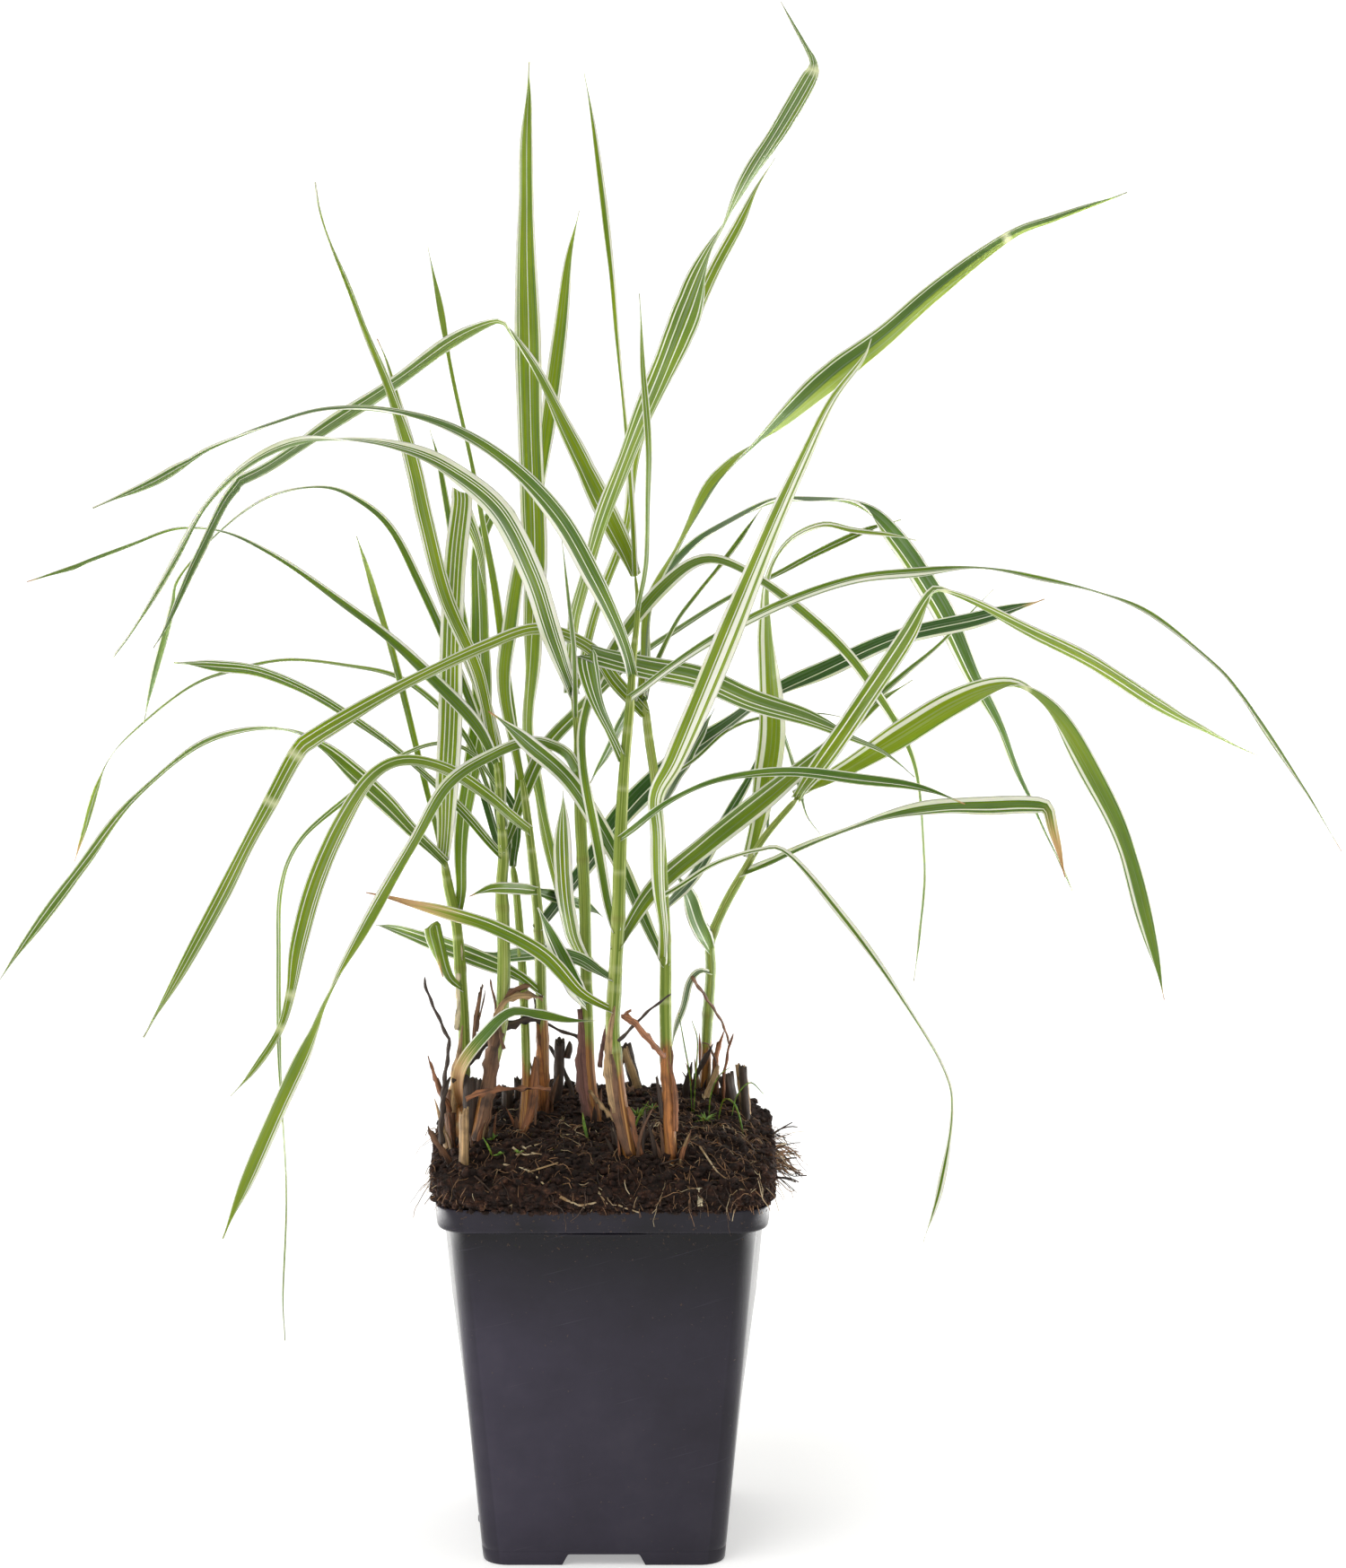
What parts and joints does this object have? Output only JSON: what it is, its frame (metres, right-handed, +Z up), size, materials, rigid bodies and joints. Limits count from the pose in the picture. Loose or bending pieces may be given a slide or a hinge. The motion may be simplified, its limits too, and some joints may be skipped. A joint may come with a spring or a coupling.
{
  "type": "potted ornamental grass",
  "caption": "Variegated reed canary grass with arching cream-striped blades on upright culms, growing in a tapered square black nursery pot.",
  "frame": {"origin": "the middle of the pot's foot, on the surface that the pot stands on", "axes": "+Z up; -Y towards the front that the picture shows; +X to the right as seen from the front"},
  "size_m": [0.3488, 0.2, 0.4163],
  "materials": {
    "pot_plastic": "moulded, thin walled, satin with fine drawn streaks and scratches",
    "peat": "damp dark peat bound by roots",
    "culm": "smooth green stalks in leaf sheaths",
    "striped_blade": "living grass blades, green with cream lengthwise stripes",
    "dead_straw": "dry brown cut stalks"
  },
  "bodies": {
    "root": {"pot": "pot_plastic", "soil": "peat", "culm_1": "culm", "culm_2": "culm", "culm_3": "culm", "culm_4": "culm", "culm_5": "culm", "culm_6": "culm", "culm_7": "culm", "culm_8": "culm", "leaf_1_1": "striped_blade", "leaf_1_2": "striped_blade", "leaf_1_3": "striped_blade", "leaf_1_4": "striped_blade", "leaf_1_5": "striped_blade", "leaf_2_1": "striped_blade", "leaf_2_2": "striped_blade", "leaf_2_3": "striped_blade", "leaf_2_4": "striped_blade", "leaf_2_5": "striped_blade", "leaf_2_6": "striped_blade", "leaf_2_7": "striped_blade", "leaf_3_1": "striped_blade", "leaf_3_2": "striped_blade", "leaf_4_1": "striped_blade", "leaf_4_2": "striped_blade", "leaf_4_3": "striped_blade", "leaf_4_4": "striped_blade", "leaf_5_1": "striped_blade", "leaf_5_2": "striped_blade", "leaf_5_3": "striped_blade", "leaf_5_4": "striped_blade", "leaf_5_5": "striped_blade", "leaf_5_6": "striped_blade", "leaf_5_7": "striped_blade", "leaf_6_1": "striped_blade", "leaf_6_2": "striped_blade", "leaf_6_3": "striped_blade", "leaf_6_4": "striped_blade", "leaf_6_5": "striped_blade", "leaf_6_6": "striped_blade", "leaf_6_7": "striped_blade", "leaf_6_8": "striped_blade", "leaf_6_9": "striped_blade", "leaf_6_10": "striped_blade", "leaf_7_1": "striped_blade", "leaf_7_2": "striped_blade", "leaf_7_3": "striped_blade", "leaf_7_4": "striped_blade", "leaf_7_5": "striped_blade", "leaf_7_6": "striped_blade", "leaf_7_7": "striped_blade", "leaf_7_8": "striped_blade", "leaf_8_1": "striped_blade", "leaf_8_2": "striped_blade", "leaf_8_3": "striped_blade", "leaf_8_4": "striped_blade", "cut_stub_1": "dead_straw", "cut_stub_2": "dead_straw", "cut_stub_3": "dead_straw"}
  },
  "joints": []
}
